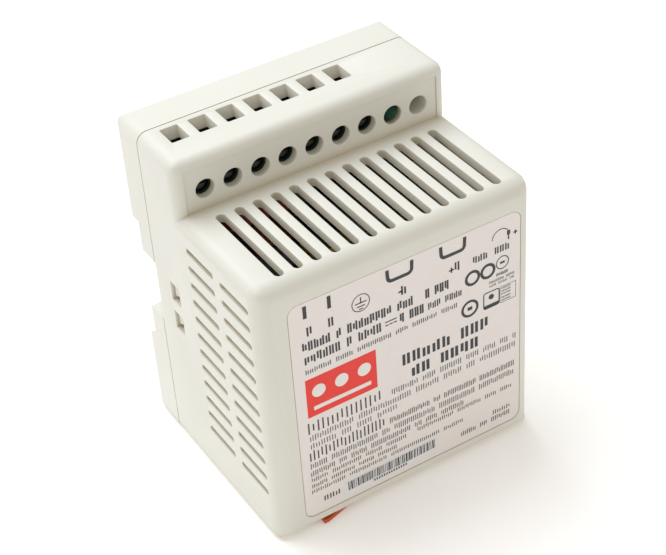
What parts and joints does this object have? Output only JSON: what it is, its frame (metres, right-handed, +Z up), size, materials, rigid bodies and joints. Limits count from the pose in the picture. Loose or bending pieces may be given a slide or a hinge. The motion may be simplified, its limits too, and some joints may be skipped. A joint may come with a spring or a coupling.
{
  "type": "DIN rail power supply",
  "caption": "Stepped plastic DIN rail power supply with front-driven screw terminals, wire entries on top, status light, output trimmer and a sprung rail latch.",
  "frame": {"origin": "centre of the footprint, at the underside of the latch's release arm, 1.3 mm below the housing", "axes": "+Z up the rail-mounted unit, -Y out of the printed front, +X to the right seen from the front"},
  "size_m": [0.078, 0.067, 0.0943],
  "materials": {
    "shell_plastic": "fine moulded grain, warm off-white",
    "latch_plastic": "satin orange",
    "label_film": "satin printed film",
    "paper": "matt white",
    "green_plastic": "satin green",
    "plated_steel": "tin-plated",
    "contact_brass": "rolled",
    "spring_steel": "drawn wire",
    "zinc_steel": "zinc-plated",
    "laminate": "solder-masked glass laminate",
    "clear_sheet": "polyester film",
    "lens_green": "tinted epoxy",
    "black_plastic": "moulded",
    "trimmer_blue": "satin",
    "white_plastic": "satin",
    "ferrite": "sintered",
    "yellow_tape": "polyester tape",
    "copper_wire": "enamelled copper",
    "film_box": "moulded box",
    "sleeve": "shrunk sleeve",
    "aluminium": "extruded",
    "blue_disc": "dipped",
    "dark_disc": "dipped"
  },
  "bodies": {
    "case": {"front_housing": "shell_plastic", "rear_base": "shell_plastic", "latch_spring": "spring_steel", "label_plate": "label_film", "serial_sticker": "paper", "circuit_board": "laminate", "insulation_sheet": "clear_sheet", "terminal_block": "green_plastic", "terminal_contact_1": "contact_brass", "terminal_contact_2": "contact_brass", "terminal_contact_3": "contact_brass", "terminal_contact_4": "contact_brass", "terminal_contact_5": "contact_brass", "terminal_contact_6": "contact_brass", "terminal_contact_7": "contact_brass", "status_led": "lens_green", "led_spacer": "white_plastic", "trimmer_body": "trimmer_blue", "fuse": "black_plastic", "line_capacitor": "film_box", "choke_core": "ferrite", "choke_winding_1": "copper_wire", "choke_winding_2": "copper_wire", "inrush_thermistor": "dark_disc", "bridge_rectifier": "black_plastic", "bulk_capacitor": "sleeve", "primary_heat_sink": "aluminium", "power_transistor": "black_plastic", "transistor_screw": "zinc_steel", "transformer_core": "ferrite", "transformer_winding": "yellow_tape", "transformer_bobbin": "black_plastic", "secondary_heat_sink": "aluminium", "output_rectifier": "black_plastic", "rectifier_screw": "zinc_steel", "output_capacitor_1": "sleeve", "output_capacitor_2": "sleeve", "output_choke": "copper_wire", "safety_capacitor": "blue_disc", "optocoupler": "black_plastic", "controller_chip": "black_plastic"},
    "latch": {"rail_latch": "latch_plastic"},
    "trimmer": {"trimmer_rotor": "white_plastic"},
    "screw_1": {"terminal_screw_1": "zinc_steel"},
    "clamp_1": {"wire_clamp_1": "plated_steel"},
    "screw_2": {"terminal_screw_2": "zinc_steel"},
    "clamp_2": {"wire_clamp_2": "plated_steel"},
    "screw_3": {"terminal_screw_3": "zinc_steel"},
    "clamp_3": {"wire_clamp_3": "plated_steel"},
    "screw_4": {"terminal_screw_4": "zinc_steel"},
    "clamp_4": {"wire_clamp_4": "plated_steel"},
    "screw_5": {"terminal_screw_5": "zinc_steel"},
    "clamp_5": {"wire_clamp_5": "plated_steel"},
    "screw_6": {"terminal_screw_6": "zinc_steel"},
    "clamp_6": {"wire_clamp_6": "plated_steel"},
    "screw_7": {"terminal_screw_7": "zinc_steel"},
    "clamp_7": {"wire_clamp_7": "plated_steel"}
  },
  "joints": [
    {"name": "latch_slide", "type": "slide", "parent": "case", "child": "latch", "axis": [0, 0, -1], "range_m": [0, 0.0055], "stiffness_N_per_m": 600, "springref_m": -0.003, "deforming": ["latch_spring"]},
    {"name": "trimmer_turn", "type": "hinge", "parent": "case", "child": "trimmer", "pos_m": [0.03048, 0.0125, 0.0848], "axis": [0, 1, 0], "range_deg": [-120, 120]},
    {"name": "screw_1_turn", "type": "hinge", "parent": "case", "child": "screw_1", "pos_m": [-0.03048, 0.009, 0.0848], "axis": [0, 1, 0], "range_deg": [0, 2165]},
    {"name": "clamp_1_rise", "type": "slide", "parent": "case", "child": "clamp_1", "axis": [0, -1, 0], "range_m": [0, 0.003]},
    {"name": "screw_2_turn", "type": "hinge", "parent": "case", "child": "screw_2", "pos_m": [-0.02286, 0.009, 0.0848], "axis": [0, 1, 0], "range_deg": [0, 2165]},
    {"name": "clamp_2_rise", "type": "slide", "parent": "case", "child": "clamp_2", "axis": [0, -1, 0], "range_m": [0, 0.003]},
    {"name": "screw_3_turn", "type": "hinge", "parent": "case", "child": "screw_3", "pos_m": [-0.01524, 0.009, 0.0848], "axis": [0, 1, 0], "range_deg": [0, 2165]},
    {"name": "clamp_3_rise", "type": "slide", "parent": "case", "child": "clamp_3", "axis": [0, -1, 0], "range_m": [0, 0.003]},
    {"name": "screw_4_turn", "type": "hinge", "parent": "case", "child": "screw_4", "pos_m": [-0.00762, 0.009, 0.0848], "axis": [0, 1, 0], "range_deg": [0, 2165]},
    {"name": "clamp_4_rise", "type": "slide", "parent": "case", "child": "clamp_4", "axis": [0, -1, 0], "range_m": [0, 0.003]},
    {"name": "screw_5_turn", "type": "hinge", "parent": "case", "child": "screw_5", "pos_m": [0, 0.009, 0.0848], "axis": [0, 1, 0], "range_deg": [0, 2165]},
    {"name": "clamp_5_rise", "type": "slide", "parent": "case", "child": "clamp_5", "axis": [0, -1, 0], "range_m": [0, 0.003]},
    {"name": "screw_6_turn", "type": "hinge", "parent": "case", "child": "screw_6", "pos_m": [0.00762, 0.009, 0.0848], "axis": [0, 1, 0], "range_deg": [0, 2165]},
    {"name": "clamp_6_rise", "type": "slide", "parent": "case", "child": "clamp_6", "axis": [0, -1, 0], "range_m": [0, 0.003]},
    {"name": "screw_7_turn", "type": "hinge", "parent": "case", "child": "screw_7", "pos_m": [0.01524, 0.009, 0.0848], "axis": [0, 1, 0], "range_deg": [0, 2165]},
    {"name": "clamp_7_rise", "type": "slide", "parent": "case", "child": "clamp_7", "axis": [0, -1, 0], "range_m": [0, 0.003]}
  ],
  "couplings": [
    {"joint": "screw_1_turn", "follows": "clamp_1_rise", "rad_per_m": 12566},
    {"joint": "screw_2_turn", "follows": "clamp_2_rise", "rad_per_m": 12566},
    {"joint": "screw_3_turn", "follows": "clamp_3_rise", "rad_per_m": 12566},
    {"joint": "screw_4_turn", "follows": "clamp_4_rise", "rad_per_m": 12566},
    {"joint": "screw_5_turn", "follows": "clamp_5_rise", "rad_per_m": 12566},
    {"joint": "screw_6_turn", "follows": "clamp_6_rise", "rad_per_m": 12566},
    {"joint": "screw_7_turn", "follows": "clamp_7_rise", "rad_per_m": 12566}
  ]
}
